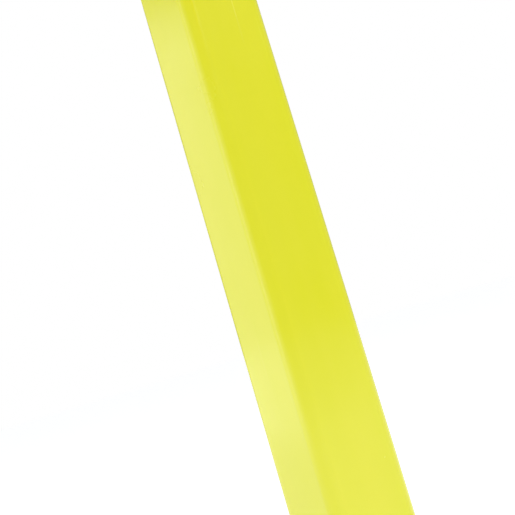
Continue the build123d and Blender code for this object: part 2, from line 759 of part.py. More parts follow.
with BuildPart() as sock_eyelets:
    barrel_length = cloth + 2 * eyelet_clearance + 2 * eyelet_sheet
    for angle in eyelet_angles:
        cloth_plane = sock_plane(angle, eyelet_x, cloth_radius(eyelet_x), sock_tilt)
        eyelet_foot = cloth_plane.offset(-eyelet_clearance - eyelet_sheet)
        with BuildSketch(eyelet_foot, eyelet_foot.offset(barrel_length - eyelet_sheet)):
            Circle(eyelet_flange / 2)
        extrude(amount=eyelet_sheet)
        with BuildSketch(eyelet_foot):
            Circle(eyelet_barrel)
        extrude(amount=barrel_length)
        with BuildSketch(eyelet_foot):
            Circle(eyelet_bore / 2)
        extrude(amount=barrel_length, mode=Mode.SUBTRACT)
save(sock_eyelets, "sock_eyelets")

with BuildPart() as sock_ties:
    tie_front = mouth_x - tie_gap - tie_thickness
    tie_rear = eyelet_x + tie_thickness / 2
    tie_top = cloth_radius(mouth_x) + cloth + tie_gap + tie_thickness
    tie_foot = front_hoop_radius - front_rod / 2 - tie_gap - tie_thickness
    tie_length = tie_rear - tie_front
    tie_depth = tie_top - tie_foot
    for angle in eyelet_angles:
        radial = sock_plane(angle, (tie_front + tie_rear) / 2, (tie_top + tie_foot) / 2)
        with BuildSketch(Plane(origin=radial.origin, x_dir=radial.x_dir, z_dir=radial.y_dir)):
            RectangleRounded(tie_length, tie_depth, tie_corner)
            RectangleRounded(
                tie_length - 2 * tie_thickness,
                tie_depth - 2 * tie_thickness,
                tie_corner - tie_thickness,
                mode=Mode.SUBTRACT,
            )
        extrude(amount=tie_width / 2, both=True)
        with BuildSketch(sock_plane(angle, (tie_front + tie_rear) / 2, tie_top)):
            RectangleRounded(tie_head, tie_head, 1)
        extrude(amount=tie_head_height)
save(sock_ties, "sock_ties")

droop_x = rear_hoop_x + droop_behind_hoop
droop_z = sock_axis + droop_above_axis
droop = math.radians(droop_angle)
tail_way = Vector(math.cos(droop), 0, -math.sin(droop))
tail_up = Vector(math.sin(droop), 0, math.cos(droop))
tail_start = Vector(droop_x, 0, droop_z) + tail_way * knee_length - tail_up * droop_above_axis
tail_end = tail_start + tail_way * tail_solid_length
start_plane = Plane(origin=tail_start, x_dir=tail_up, z_dir=tail_way)
end_plane = Plane(origin=tail_end, x_dir=tail_up, z_dir=tail_way)
knee_way = Vector(math.cos(math.radians(knee_tilt)), 0, -math.sin(math.radians(knee_tilt)))
knee_up = Vector(math.sin(math.radians(knee_tilt)), 0, math.cos(math.radians(knee_tilt)))
knee_origin = Vector(rear_hoop_x + knee_centre_x, 0, sock_axis - knee_centre_z)
knee_plane = Plane(origin=knee_origin, x_dir=knee_up, z_dir=knee_way)
throat_end_plane = Plane(origin=(throat_end_x, 0, sock_axis), x_dir=(0, 0, 1), z_dir=(1, 0, 0))


def sock_shell(sections):
    """Cloth tube in the current part, straight between elliptical sections (plane, depth, width)."""
    for wall, mode in ((0, Mode.ADD), (cloth, Mode.SUBTRACT)):
        faces = []
        for plane, depth, width in sections:
            with BuildSketch(plane) as outline:
                Ellipse(depth / 2 - wall, width / 2 - wall)
            faces.append(outline.sketch.faces()[0])
        loft(faces, ruled=True, mode=mode)


with BuildPart() as sock_knee:
    throat_outside = 2 * (cloth_radius(throat_end_x) + cloth)
    sock_shell(
        [
            (throat_end_plane, throat_outside, throat_outside - 0.01),
            (knee_plane, knee_depth, knee_width),
            (start_plane, tail_start_depth, tail_start_width),
        ]
    )
save(sock_knee, "sock_knee")

with BuildPart() as sock_tail:
    sock_shell(
        [
            (start_plane, tail_start_depth, tail_start_width),
            (end_plane, tail_end_depth, tail_end_width),
        ]
    )
save(sock_tail, "sock_tail")
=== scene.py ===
import json
import math
import random

import bmesh
import bpy
import numpy as np
from mathutils import Matrix, Vector


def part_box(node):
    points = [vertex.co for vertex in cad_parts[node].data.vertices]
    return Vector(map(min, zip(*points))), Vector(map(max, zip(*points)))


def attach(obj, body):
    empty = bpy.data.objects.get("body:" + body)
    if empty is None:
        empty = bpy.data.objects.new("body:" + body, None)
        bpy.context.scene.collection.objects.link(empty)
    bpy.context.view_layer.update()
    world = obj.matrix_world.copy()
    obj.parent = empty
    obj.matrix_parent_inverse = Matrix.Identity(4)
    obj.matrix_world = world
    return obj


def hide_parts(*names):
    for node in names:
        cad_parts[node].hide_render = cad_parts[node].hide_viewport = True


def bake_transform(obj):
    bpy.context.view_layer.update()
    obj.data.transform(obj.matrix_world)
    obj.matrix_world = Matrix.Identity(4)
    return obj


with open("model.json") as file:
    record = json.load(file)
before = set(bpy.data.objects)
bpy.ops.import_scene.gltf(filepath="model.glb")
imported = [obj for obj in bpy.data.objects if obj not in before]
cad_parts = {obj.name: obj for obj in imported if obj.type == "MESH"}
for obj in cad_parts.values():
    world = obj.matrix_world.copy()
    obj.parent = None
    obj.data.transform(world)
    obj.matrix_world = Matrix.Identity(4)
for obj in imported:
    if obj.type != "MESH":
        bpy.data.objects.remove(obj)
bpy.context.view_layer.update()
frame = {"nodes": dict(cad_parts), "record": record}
random.seed(11)

# ---------------------------------------------------------------- places read from the frame, in metres
socket_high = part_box("base_socket")[1]
plate_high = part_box("base_plate")[1]
front_low, front_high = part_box("front_hoop")
rear_low, rear_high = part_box("rear_hoop")
tube_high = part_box("swivel_tube")[1]
sock_z = (front_low.z + front_high.z) / 2
front_x = (front_low.x + front_high.x) / 2
rear_x = (rear_low.x + rear_high.x) / 2
front_rod = (front_high.x - front_low.x) / 2
rear_rod = (rear_high.x - rear_low.x) / 2
mouth_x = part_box("sock_throat")[0].x

# ---------------------------------------------------------------- the sock as it was cut
MOUTH_RADIUS = 0.125
TAIL_RADIUS = 0.0625
SOCK_LENGTH = 0.900
CLOTH = 0.0008  # shown thickness of the coated cloth
CAD_CLOTH = 0.0016
HOOP_GAP = 0.0005
BANDS = 5
TAPE_HALF = 0.007
TAPE_RISE = 0.0006
TAPE_EDGE = 0.0005  # run in which a tape's edge rises
SEAM_HALF = 1.05  # in columns of the refined cloth, each side of the bottom seam
SEAM_EDGE = 0.1  # also in columns
HEM_WIDTH = 0.0145
STITCH_INSET = 0.0055  # from the middle of a tape
HEM_STITCHES = (0.0035, 0.0125)  # from the cloth's edge
SEAM_STITCHES = (-0.0042, 0.0042)  # from the middle of the bottom seam
STITCH_PITCH = 0.0042
STITCH_LENGTH = 0.0029
THREAD_RADIUS = 0.00026
THREAD_BOW = 0.00022  # how far the middle of a stitch stands up
EYELETS = 8
EYELET_FIRST = 22.5  # degrees from straight out sideways
EYELET_HOLE = 0.0054  # radius of the cloth's hole, under the eyelet's flange
SWING_ANGLE = math.radians(5)
SWING_START = 0.34  # along the cloth
SWING_RUN = 0.16
taper = (MOUTH_RADIUS - TAIL_RADIUS) / SOCK_LENGTH
mouth_cloth = MOUTH_RADIUS + HOOP_GAP + CAD_CLOTH / 2 + taper * (front_x - mouth_x)
tail_cloth = mouth_cloth - taper * SOCK_LENGTH

X, Y, Z = Vector((1, 0, 0)), Vector((0, 1, 0)), Vector((0, 0, 1))


# ================================================================ camera and light
def make_camera():
    """Close to the lower mast, looking up a little and rolled, so that the mast crosses the picture."""
    azimuth = math.radians(58.6)
    pitch = math.radians(6.503)
    roll = math.radians(-16.463)
    distance = 0.3935
    sideways = 0.0093
    height = 0.48
    level = math.cos(pitch)
    ahead = Vector((-math.sin(azimuth) * level, math.cos(azimuth) * level, math.sin(pitch)))
    right = Vector((math.cos(azimuth), math.sin(azimuth), 0))
    up = right.cross(ahead)
    rolled_right = right * math.cos(roll) + up * math.sin(roll)
    rolled_up = up * math.cos(roll) - right * math.sin(roll)
    data = bpy.data.cameras.new("camera")
    data.lens = 50
    data.sensor_width = 36
    data.clip_start = 0.01
    data.clip_end = 100
    camera = bpy.data.objects.new("camera", data)
    place = Vector((0, 0, height)) - ahead * distance - rolled_right * sideways
    turn = Matrix((rolled_right, rolled_up, -ahead)).transposed()
    camera.matrix_world = Matrix.Translation(place) @ turn.to_4x4()
    bpy.context.scene.collection.objects.link(camera)
    bpy.context.scene.camera = camera


def area_light(name, place, aim, size, power):
    """Soft square light that points at aim."""
    data = bpy.data.lights.new(name, "AREA")
    data.shape = "RECTANGLE"
    data.size, data.size_y = size
    data.energy = power
    light = bpy.data.objects.new(name, data)
    light.location = place
    light.rotation_mode = "QUATERNION"
    light.rotation_quaternion = (Vector(aim) - Vector(place)).to_track_quat("-Z", "Y")
    bpy.context.scene.collection.objects.link(light)
    light.visible_camera = False


def make_studio():
    """White room, a large pale floor and four soft lights."""
    world = bpy.data.worlds.new("studio")
    bpy.context.scene.world = world
    world.use_nodes = True
    tree = world.node_tree
    backdrop = tree.nodes["Background"]
    backdrop.inputs["Color"].default_value = (1, 1, 1, 1)
    backdrop.inputs["Strength"].default_value = 1.0
    light = tree.nodes.new("ShaderNodeBackground")
    light.inputs["Color"].default_value = (0.97, 0.985, 1, 1)
    light.inputs["Strength"].default_value = 0.49
    path = tree.nodes.new("ShaderNodeLightPath")
    mix = tree.nodes.new("ShaderNodeMixShader")
    tree.links.new(path.outputs["Is Camera Ray"], mix.inputs[0])
    tree.links.new(light.outputs[0], mix.inputs[1])
    tree.links.new(backdrop.outputs[0], mix.inputs[2])
    tree.links.new(mix.outputs[0], tree.nodes["World Output"].inputs[0])
    bpy.context.scene.view_settings.view_transform = "Standard"

    floor = bpy.data.meshes.new("floor")
    half = 30.0
    corners = [(-half, -half, 0), (half, -half, 0), (half, half, 0), (-half, half, 0)]
    floor.from_pydata(corners, [], [(0, 1, 2, 3)])
    ground = bpy.data.objects.new("floor", floor)
    bpy.context.scene.collection.objects.link(ground)
    ground.location.z = -0.0003  # just under the plate, so that the two faces do not flicker
    paint = bpy.data.materials.new("floor_paint")
    paint.use_nodes = True
    shader = paint.node_tree.nodes["Principled BSDF"]
    shader.inputs["Base Color"].default_value = (0.9, 0.9, 0.9, 1)
    shader.inputs["Roughness"].default_value = 0.9
    shader.inputs["Specular IOR Level"].default_value = 0.2
    shader.inputs["Emission Color"].default_value = (1, 1, 1, 1)
    shader.inputs["Emission Strength"].default_value = 0.56
    floor.materials.append(paint)
    # A broad soft box on the left, two beside it for the sheen of the near edge, and a high one on the right
    area_light("broad", (-2.1, -2.1, 1.0), (0, 0, 0.7), (2.6, 2.2), 17)
    area_light("strip", (-0.95, -2.80, 1.0), (0, 0, 0.7), (0.6, 2.4), 9)
    area_light("front", (0.05, -3.0, 1.0), (0, 0, 0.7), (2.0, 2.2), 9)
    area_light("high", (2.4, 0.4, 3.1), (0, 0, 0.8), (1.6, 1.6), 76)


# ================================================================ materials
class Surface:
    """A procedural material: a Principled shader and the few texture nodes that feed it."""

    def __init__(self, name, colour, roughness, metallic=0.0):
        self.material = bpy.data.materials.new(name)
        self.material.use_nodes = True
        self.tree = self.material.node_tree
        self.shader = self.tree.nodes["Principled BSDF"]
        self.shader.inputs["Base Color"].default_value = (*colour, 1)
        self.shader.inputs["Roughness"].default_value = roughness
        self.shader.inputs["Metallic"].default_value = metallic
        self.height = None

    def node(self, kind, **settings):
        made = self.tree.nodes.new(kind)
        for key, value in settings.items():
            setattr(made, key, value)
        return made

    def feed(self, socket, value):
        """Link an output to a socket, or set the socket's own value."""
        if isinstance(value, bpy.types.NodeSocket):
            self.tree.links.new(value, socket)
        else:
            socket.default_value = value

    def place(self, stretch=(1, 1, 1), uv=None):
        """Object coordinates in metres, or a UV map's, stretched along each axis."""
        mapping = self.node("ShaderNodeMapping")
        mapping.inputs["Scale"].default_value = stretch
        if uv:
            source = self.node("ShaderNodeUVMap", uv_map=uv).outputs["UV"]
        else:
            source = self.node("ShaderNodeTexCoord").outputs["Object"]
        self.tree.links.new(source, mapping.inputs["Vector"])
        return mapping.outputs["Vector"]

    def noise(self, scale, detail=3.0, roughness=0.5, stretch=(1, 1, 1), uv=None):
        made = self.node("ShaderNodeTexNoise")
        self.tree.links.new(self.place(stretch, uv), made.inputs["Vector"])
        made.inputs["Scale"].default_value = scale
        made.inputs["Detail"].default_value = detail
        made.inputs["Roughness"].default_value = roughness
        return made.outputs["Fac"]

    def flakes(self, scale):
        """A random grey for each cell."""
        made = self.node("ShaderNodeTexVoronoi", feature="F1")
        self.tree.links.new(self.place(), made.inputs["Vector"])
        made.inputs["Scale"].default_value = scale
        split = self.node("ShaderNodeSeparateColor")
        self.tree.links.new(made.outputs["Color"], split.inputs[0])
        return split.outputs[0]

    def wave(self, scale, axis="X", uv=None):
        made = self.node("ShaderNodeTexWave", wave_type="BANDS", bands_direction=axis, wave_profile="SIN")
        self.tree.links.new(self.place(uv=uv), made.inputs["Vector"])
        made.inputs["Scale"].default_value = scale
        made.inputs["Distortion"].default_value = 0.0
        return made.outputs["Fac"]

    def math(self, operation, first, second):
        made = self.node("ShaderNodeMath", operation=operation)
        self.feed(made.inputs[0], first)
        self.feed(made.inputs[1], second)
        return made.outputs[0]

    def spread(self, value, low, high, out_low=0.0, out_high=1.0):
        """Map a value from low..high to out_low..out_high, clamped."""
        made = self.node("ShaderNodeMapRange", clamp=True)
        self.feed(made.inputs["Value"], value)
        made.inputs["From Min"].default_value = low
        made.inputs["From Max"].default_value = high
        made.inputs["To Min"].default_value = out_low
        made.inputs["To Max"].default_value = out_high
        return made.outputs["Result"]

    def mix(self, share, first, second):
        made = self.node("ShaderNodeMix", data_type="RGBA")
        self.feed(made.inputs[0], share)
        for socket, colour in ((made.inputs[6], first), (made.inputs[7], second)):
            self.feed(socket, (*colour, 1) if isinstance(colour, tuple) else colour)
        return made.outputs[2]

    def colour(self, value):
        self.feed(self.shader.inputs["Base Color"], value)

    def roughness(self, value):
        self.feed(self.shader.inputs["Roughness"], value)

    def bump(self, height, depth, strength=1.0):
        """Add relief; depth is in metres."""
        made = self.node("ShaderNodeBump")
        made.inputs["Strength"].default_value = strength
        made.inputs["Distance"].default_value = depth
        self.feed(made.inputs["Height"], height)
        if self.height is not None:
            self.tree.links.new(self.height, made.inputs["Normal"])
        self.height = made.outputs["Normal"]
        self.feed(self.shader.inputs["Normal"], self.height)

    def set(self, **values):
        for key, value in values.items():
            self.shader.inputs[key.replace("_", " ")].default_value = value


def powder_coat():
    """Gloss fluorescent yellow powder coat, faintly mottled, with orange peel and rubbing marks."""
    s = Surface("yellow_powder_coat", (0.66, 0.67, 0.01), 0.2)
    along = s.noise(22, 4, 0.6, stretch=(1, 1, 0.16))
    patches = s.noise(9, 2, 0.5)
    tone = s.mix(s.spread(along, 0.35, 0.68), (0.615, 0.625, 0.001), (0.650, 0.638, 0.011))
    tone = s.mix(s.spread(patches, 0.42, 0.72, 0, 0.5), tone, (0.650, 0.650, 0.030))
    scratch = s.noise(260, 2, 0.4, stretch=(1, 1, 0.012))
    where = s.spread(s.noise(14, 3), 0.55, 0.68)
    marks = s.math("MULTIPLY", s.spread(scratch, 0.66, 0.72), where)
    tone = s.mix(s.math("MULTIPLY", marks, 0.08), tone, (0.80, 0.80, 0.30))
    s.colour(tone)
    peel = s.noise(420, 2, 0.5)
    haze = s.spread(s.noise(30, 4), 0.4, 0.75, 0.16, 0.30)
    s.roughness(s.math("ADD", haze, s.math("MULTIPLY", marks, 0.10)))
    s.bump(peel, 0.00004, 0.5)
    s.bump(marks, -0.00001, 0.3)
    s.set(IOR=1.5, Coat_Weight=0.25, Coat_Roughness=0.12)
    s.set(Emission_Color=(0.62, 0.66, 0.0, 1), Emission_Strength=0.06)  # a faint even glow, painted light that keeps the yellow bright in shade; it stands in for the fluorescence
    return s.material


def galvanised():
    """Hot-dip galvanised steel: zinc spangle, dull patches and a few scuffs."""
    s = Surface("galvanised_steel", (0.56, 0.58, 0.59), 0.42, 0.85)
    grain = s.flakes(130)
    clouds = s.noise(11, 5, 0.6)
    tone = s.mix(grain, (0.46, 0.48, 0.50), (0.66, 0.68, 0.69))
    tone = s.mix(s.spread(clouds, 0.48, 0.75, 0, 0.7), tone, (0.40, 0.41, 0.42))
    white_rust = s.spread(s.noise(45, 6, 0.7), 0.62, 0.74, 0, 0.5)
    tone = s.mix(white_rust, tone, (0.72, 0.73, 0.72))
    s.colour(tone)
    s.roughness(s.spread(s.math("ADD", s.math("MULTIPLY", grain, 0.4), clouds), 0.3, 1.1, 0.30, 0.62))
    s.bump(s.noise(140, 4, 0.6), 0.00012, 0.5)
    s.bump(grain, 0.00003, 0.35)
    return s.material


def brushed(name, colour, rough, stretch, scale=900.0):
    """Brushed or turned metal, its lines across the stretched axis."""
    s = Surface(name, colour, rough, 1.0)
    lines = s.noise(scale, 2, 0.6, stretch=stretch)
    blotch = s.noise(24, 4, 0.55)
    dark = tuple(c * 0.78 for c in colour)
    light = tuple(min(1.0, c * 1.08) for c in colour)
    tone = s.mix(s.spread(lines, 0.3, 0.7), dark, light)
    tone = s.mix(s.spread(blotch, 0.5, 0.8, 0, 0.45), tone, tuple(c * 0.7 for c in colour))
    s.colour(tone)
    wear = s.math("ADD", s.math("MULTIPLY", lines, 0.5), blotch)
    s.roughness(s.spread(wear, 0.4, 1.1, rough * 0.7, rough * 1.5))
    s.bump(lines, 0.00002, 0.35)
    return s.material


def plated(name, colour, rough):
    """Bright plated steel with handling marks."""
    s = Surface(name, colour, rough, 1.0)
    cloud = s.noise(160, 4, 0.6)
    spots = s.spread(s.noise(420, 5, 0.7), 0.64, 0.72, 0, 0.6)
    tone = s.mix(s.spread(cloud, 0.35, 0.7), tuple(c * 0.82 for c in colour), colour)
    s.colour(s.mix(spots, tone, tuple(c * 0.55 for c in colour)))
    s.roughness(s.spread(cloud, 0.3, 0.75, rough * 0.7, rough * 1.6))
    s.bump(s.noise(700, 3), 0.00001, 0.5)
    return s.material


def moulded(name, colour, rough):
    """Moulded nylon with a fine spark-eroded grain and pale rubbed patches."""
    s = Surface(name, colour, rough)
    fine = s.noise(1500, 2, 0.5)
    broad = s.noise(35, 5, 0.6)
    worn = s.spread(broad, 0.52, 0.78, 0, 0.55)
    pale = tuple(min(1.0, c * 2.2 + 0.012) for c in colour)
    s.colour(s.mix(worn, colour, pale))
    wear = s.math("ADD", s.math("MULTIPLY", fine, 0.3), broad)
    s.roughness(s.spread(wear, 0.4, 1.0, rough * 0.8, rough * 1.35))
    s.bump(fine, 0.00004, 0.6)
    return s.material


def rubber():
    """Black rubber with pale dust in it."""
    s = Surface("black_rubber", (0.018, 0.018, 0.019), 0.75)
    dust = s.noise(60, 6, 0.65)
    s.colour(s.mix(s.spread(dust, 0.5, 0.8, 0, 0.5), (0.016, 0.016, 0.017), (0.07, 0.068, 0.064)))
    s.roughness(s.spread(dust, 0.3, 0.8, 0.6, 0.9))
    s.bump(s.noise(900, 3), 0.00004, 0.5)
    return s.material


WEAVE = "cloth_weave"  # UV map in metres of cloth: across, along
YARN = 380  # waves of the weave
GRID = 31.4  # waves of the thicker yarns, 5 mm apart
CREST_LOW, CREST_HIGH = 0.93, 0.99  # the part of a wave that shows as a thicker yarn


def ripstop(name, colour, shade):
    """Coated ripstop nylon: fine plain weave, a 5 mm grid of thicker yarns, sheen, creases and weathering."""
    s = Surface(name, colour, 0.5)
    warp = s.wave(YARN, "X", uv=WEAVE)
    weft = s.wave(YARN, "Y", uv=WEAVE)
    weave = s.math("MULTIPLY", warp, weft)
    cord_across = s.spread(s.wave(GRID, "X", uv=WEAVE), CREST_LOW, CREST_HIGH)
    cord_along = s.spread(s.wave(GRID, "Y", uv=WEAVE), CREST_LOW, CREST_HIGH)
    grid = s.math("MAXIMUM", cord_across, cord_along)
    faded = s.spread(s.noise(6, 4, 0.6, uv=WEAVE), 0.4, 0.75)
    tone = s.mix(faded, colour, shade)
    tone = s.mix(s.math("MULTIPLY", grid, 0.22), tone, tuple(c * 0.8 for c in colour))
    tone = s.mix(s.math("MULTIPLY", weave, 0.10), tone, tuple(min(1.0, c * 1.15 + 0.02) for c in colour))
    dirt = s.spread(s.noise(17, 7, 0.7, uv=WEAVE), 0.60, 0.80, 0, 0.22)
    s.colour(s.mix(dirt, tone, tuple(c * 0.55 + 0.03 for c in colour)))
    s.roughness(s.spread(weave, 0, 1, 0.58, 0.42))
    s.bump(s.noise(26, 5, 0.62, uv=WEAVE), 0.0012, 0.35)
    s.bump(grid, 0.00018, 0.5)
    s.bump(weave, 0.00006, 0.4)
    s.set(Sheen_Weight=0.25, Sheen_Roughness=0.4)
    return s.material


def thread(name, colour):
    """Sewing thread with its twist."""
    s = Surface(name, colour, 0.6)
    twist = s.wave(1400, "DIAGONAL")
    s.colour(s.mix(twist, tuple(c * 0.7 for c in colour), colour))
    s.bump(twist, 0.00005, 0.6)
    return s.material


def make_materials():
    steel = (0.62, 0.61, 0.59)
    zinc = (0.64, 0.65, 0.66)
    return {
        "yellow_powder_coat": powder_coat(),
        "galvanised": galvanised(),
        "stainless": brushed("stainless_steel", steel, 0.28, (1, 1, 0.03)),
        "aluminium": brushed("anodised_aluminium", (0.70, 0.71, 0.72), 0.32, (1, 1, 0.02), 700.0),
        "zinc_steel": plated("zinc_plated_steel", zinc, 0.26),
        "bearing_steel": plated("bearing_steel", (0.68, 0.68, 0.69), 0.12),
        "brass": plated("turned_brass", (0.74, 0.55, 0.24), 0.24),
        "black_nylon": moulded("black_nylon", (0.022, 0.022, 0.024), 0.5),
        "rubber": rubber(),
        "weld": plated("weld_bead", (0.52, 0.53, 0.54), 0.38),
        "orange_cloth": ripstop("orange_ripstop", (0.86, 0.165, 0.012), (0.92, 0.24, 0.035)),
        "white_cloth": ripstop("white_ripstop", (0.80, 0.80, 0.78), (0.72, 0.72, 0.69)),
        "webbing": thread("seam_tape", (0.80, 0.80, 0.77)),
        "stitch": thread("sewing_thread", (0.86, 0.86, 0.83)),
    }


# ================================================================ mesh helpers
def make_piece(name, points, faces, body, material):
    """Mesh object that rides on a body, unless body is None, and takes its finish from a slot."""
    mesh = bpy.data.meshes.new(name)
    mesh.from_pydata([tuple(p) for p in points], [], faces)
    mesh.materials.append(material)
    mesh.polygons.foreach_set("use_smooth", [True] * len(mesh.polygons))
    mesh.validate()
    shape = bmesh.new()
    shape.from_mesh(mesh)
    bmesh.ops.recalc_face_normals(shape, faces=shape.faces)
    shape.to_mesh(mesh)
    shape.free()
    piece = bpy.data.objects.new(name, mesh)
    bpy.context.scene.collection.objects.link(piece)
    if body:
        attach(piece, body)
    return piece


def ring_faces(start, rings, sides, closed=False):
    """Quads between consecutive rings of points, with end caps unless the rings close on themselves."""
    faces = []
    for i in range(rings if closed else rings - 1):
        near = start + i * sides
        far = start + ((i + 1) % rings) * sides
        for k in range(sides):
            after = (k + 1) % sides
            faces.append((near + k, near + after, far + after, far + k))
    if not closed:
        faces.append(tuple(start + k for k in reversed(range(sides))))
        faces.append(tuple(start + (rings - 1) * sides + k for k in range(sides)))
    return faces


BEAD_SIDES = 8
BEAD_RIPPLE = 0.0016  # from one ripple of a bead to the next


def bead_points(path, radius, closed):
    """Rings of a rippled weld bead along a path of points."""
    points = []
    travelled = 0.0
    count = len(path)
    for i, point in enumerate(path):
        before = path[i - 1] if i or closed else path[i]
        after = path[(i + 1) % count] if i + 1 < count or closed else path[i]
        way = (after - before).normalized()
        across = way.orthogonal().normalized()
        if abs(way.z) < 0.9:
            across = way.cross(Vector((0, 0, 1))).normalized()
        lift = across.cross(way).normalized()
        travelled += (point - path[i - 1]).length if i else 0.0
        wave = 0.10 * math.sin(2 * math.pi * travelled / BEAD_RIPPLE)
        swell = radius * (1 + wave + random.uniform(-0.04, 0.04))
        for k in range(BEAD_SIDES):
            angle = 2 * math.pi * k / BEAD_SIDES
            points.append(point + across * swell * math.cos(angle) + lift * swell * math.sin(angle))
    return points


def straight(a, b, step=0.0004):
    """Points from a to b, a step apart."""
    a, b = Vector(a), Vector(b)
    count = max(2, int((b - a).length / step))
    return [a.lerp(b, i / count) for i in range(count + 1)]


def arc(centre, radius, first, last, across, along, step=0.0004):
    """Points round an arc in the plane of two unit vectors; angles in degrees."""
    count = max(3, int(abs(math.radians(last - first)) * radius / step))
    angles = [math.radians(first + (last - first) * i / count) for i in range(count + 1)]
    return [centre + across * radius * math.cos(a) + along * radius * math.sin(a) for a in angles]


def weld(name, runs, radius, body, material):
    """One piece with several weld beads; a run is (points, closed)."""
    points, faces = [], []
    for path, closed in runs:
        faces += ring_faces(len(points), len(path), BEAD_SIDES, closed)
        points += bead_points(path, radius, closed)
    make_piece(name, points, faces, body, material)


def square_loop(half, corner, z):
    """Closed path round a square with rounded corners."""
    path = []
    inner = half - corner
    for quarter in range(4):
        turn = Matrix.Rotation(math.radians(90 * quarter), 3, "Z")
        centre = turn @ Vector((inner, inner, 0))
        begin = turn @ Vector((half, -inner, 0))
        end = turn @ Vector((half, inner, 0))
        path += straight(begin, end)[:-1]
        path += arc(centre, corner, 0, 90, turn @ X, turn @ Y)[:-1]
    return [p + Z * z for p in path]


def weld_base(material):
    """Fillet welds round the socket's foot, along the gussets and round the bosses."""
    off = 0.0006  # from a face to the middle of a bead
    end = 0.001  # from the end of a bead to the edge it runs out at
    gusset_half = 0.003
    plate_top = plate_high.z
    half = socket_high.x
    gusset_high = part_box("base_gussets")[1]
    boss_low, boss_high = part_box("socket_bosses")
    runs = [(square_loop(half + 0.0008, 0.0095, plate_top + 0.0012), True)]
    for quarter in range(4):
        turn = Matrix.Rotation(math.radians(90 * quarter), 3, "Z")
        for edge in (-gusset_half - off, gusset_half + off):
            foot = straight(
                turn @ Vector((half + 0.003, edge, plate_top + off)),
                turn @ Vector((gusset_high.x - end, edge, plate_top + off)),
            )
            rise = straight(
                turn @ Vector((half + off, edge, plate_top + 0.004)),
                turn @ Vector((half + off, edge, gusset_high.z - end)),
            )
            runs += [(foot, False), (rise, False)]
    boss_z = (boss_low.z + boss_high.z) / 2
    boss_radius = (boss_high.z - boss_low.z) / 2
    for out, side in ((X, Y), (-Y, X)):
        centre = out * (half + off) + Z * boss_z
        runs.append((arc(centre, boss_radius + 0.0004, 0, 360, side, Z)[:-1], True))
    weld("base_welds", runs, 0.0019, "base", material)


def weld_lugs(material):
    """Fillet welds between the swivel tube and its two lugs."""
    end = 0.001
    lug_height = 0.028
    lug_low, lug_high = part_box("swivel_lugs")
    lug_half = (lug_high.y - lug_low.y) / 2
    runs = []
    for bottom in (lug_low.z, lug_high.z - lug_height):
        for edge in (-lug_half - 0.0005, lug_half + 0.0005):
            x = math.sqrt(tube_high.x**2 - edge**2) + 0.0004
            runs.append((straight((x, edge, bottom + end), (x, edge, bottom + lug_height - end)), False))
    weld("lug_welds", runs, 0.0014, "head", material)


def weld_frame(material):
    """Fillet welds where the rods and the arms meet the hoops."""
    bead_half = 0.0028
    rod_side = 0.0022  # from a rod's middle to the middle of its bead
    off = 0.0003
    front_radius = front_high.z - sock_z - front_rod
    rear_radius = rear_high.z - sock_z - rear_rod
    runs = []
    for degrees in (45, 135, 225, 315):
        out = Y * math.cos(math.radians(degrees)) + Z * math.sin(math.radians(degrees))
        side = X.cross(out)
        for x, hoop, wire in ((front_x, front_radius, front_rod), (rear_x, rear_radius, rear_rod)):
            joint = Vector((x, 0, sock_z)) + out * (hoop - wire)
            for way in (-1, 1):
                place = joint + side * way * rod_side
                runs.append((straight(place - X * bead_half, place + X * bead_half), False))
    arm_low, arm_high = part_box("hoop_arms")
    for sign in (1, -1):
        for y in (arm_low.y - off, arm_high.y + off):
            centre = Vector((front_x, y, sock_z + sign * front_radius))
            first, last = (190, 350) if sign > 0 else (10, 170)
            runs.append((arc(centre, front_rod + off, first, last, X, Z), False))
    weld("frame_welds", runs, 0.0011, "head", material)


# ================================================================ clamp screws
STUD_PITCH = 0.0015
STUD_THREAD = 0.00085  # depth of the thread


def clamp_ways(axis):
    """A clamp screw's way out from the mast, and the two ways across it."""
    way, side = {"X": (X, Y), "Y": (-Y, X)}[axis]
    return way, side, way.cross(side)


def clamp_thread(clamp, axis, material):
    """A clamp stud with a real helical thread, in the space of its CAD node."""
    node = f"{clamp}_clamp_stud"
    low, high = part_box(node)
    radius = (high.z - low.z) / 2
    middle = (low + high) / 2
    way, side, up = clamp_ways(axis)
    if axis == "X":
        length, start = high.x - low.x, Vector((low.x, middle.y, middle.z))
    else:
        length, start = high.y - low.y, Vector((middle.x, high.y, middle.z))
    columns, per_turn = 30, 8
    rows = int(length / STUD_PITCH * per_turn)
    points = []
    for i in range(rows + 1):
        travel = length * i / rows
        end_taper = min(1.0, min(travel, length - travel) / STUD_PITCH)
        for k in range(columns):
            turn = k / columns
            phase = (travel / STUD_PITCH - turn) % 1.0
            tooth = 1 - abs(2 * phase - 1)
            crest = min(1.0, max(0.0, (tooth - 0.06) / 0.82))
            cut = STUD_THREAD * (1 - crest) * (0.4 + 0.6 * end_taper)
            r = radius - cut - 0.0005 * (1 - end_taper)
            angle = 2 * math.pi * turn
            points.append(start + way * travel + side * r * math.cos(angle) + up * r * math.sin(angle))
    faces = ring_faces(0, rows + 1, columns)
    piece = make_piece(f"{clamp}_clamp_thread", points, faces, f"{clamp}_screw", material)
    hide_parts(node)


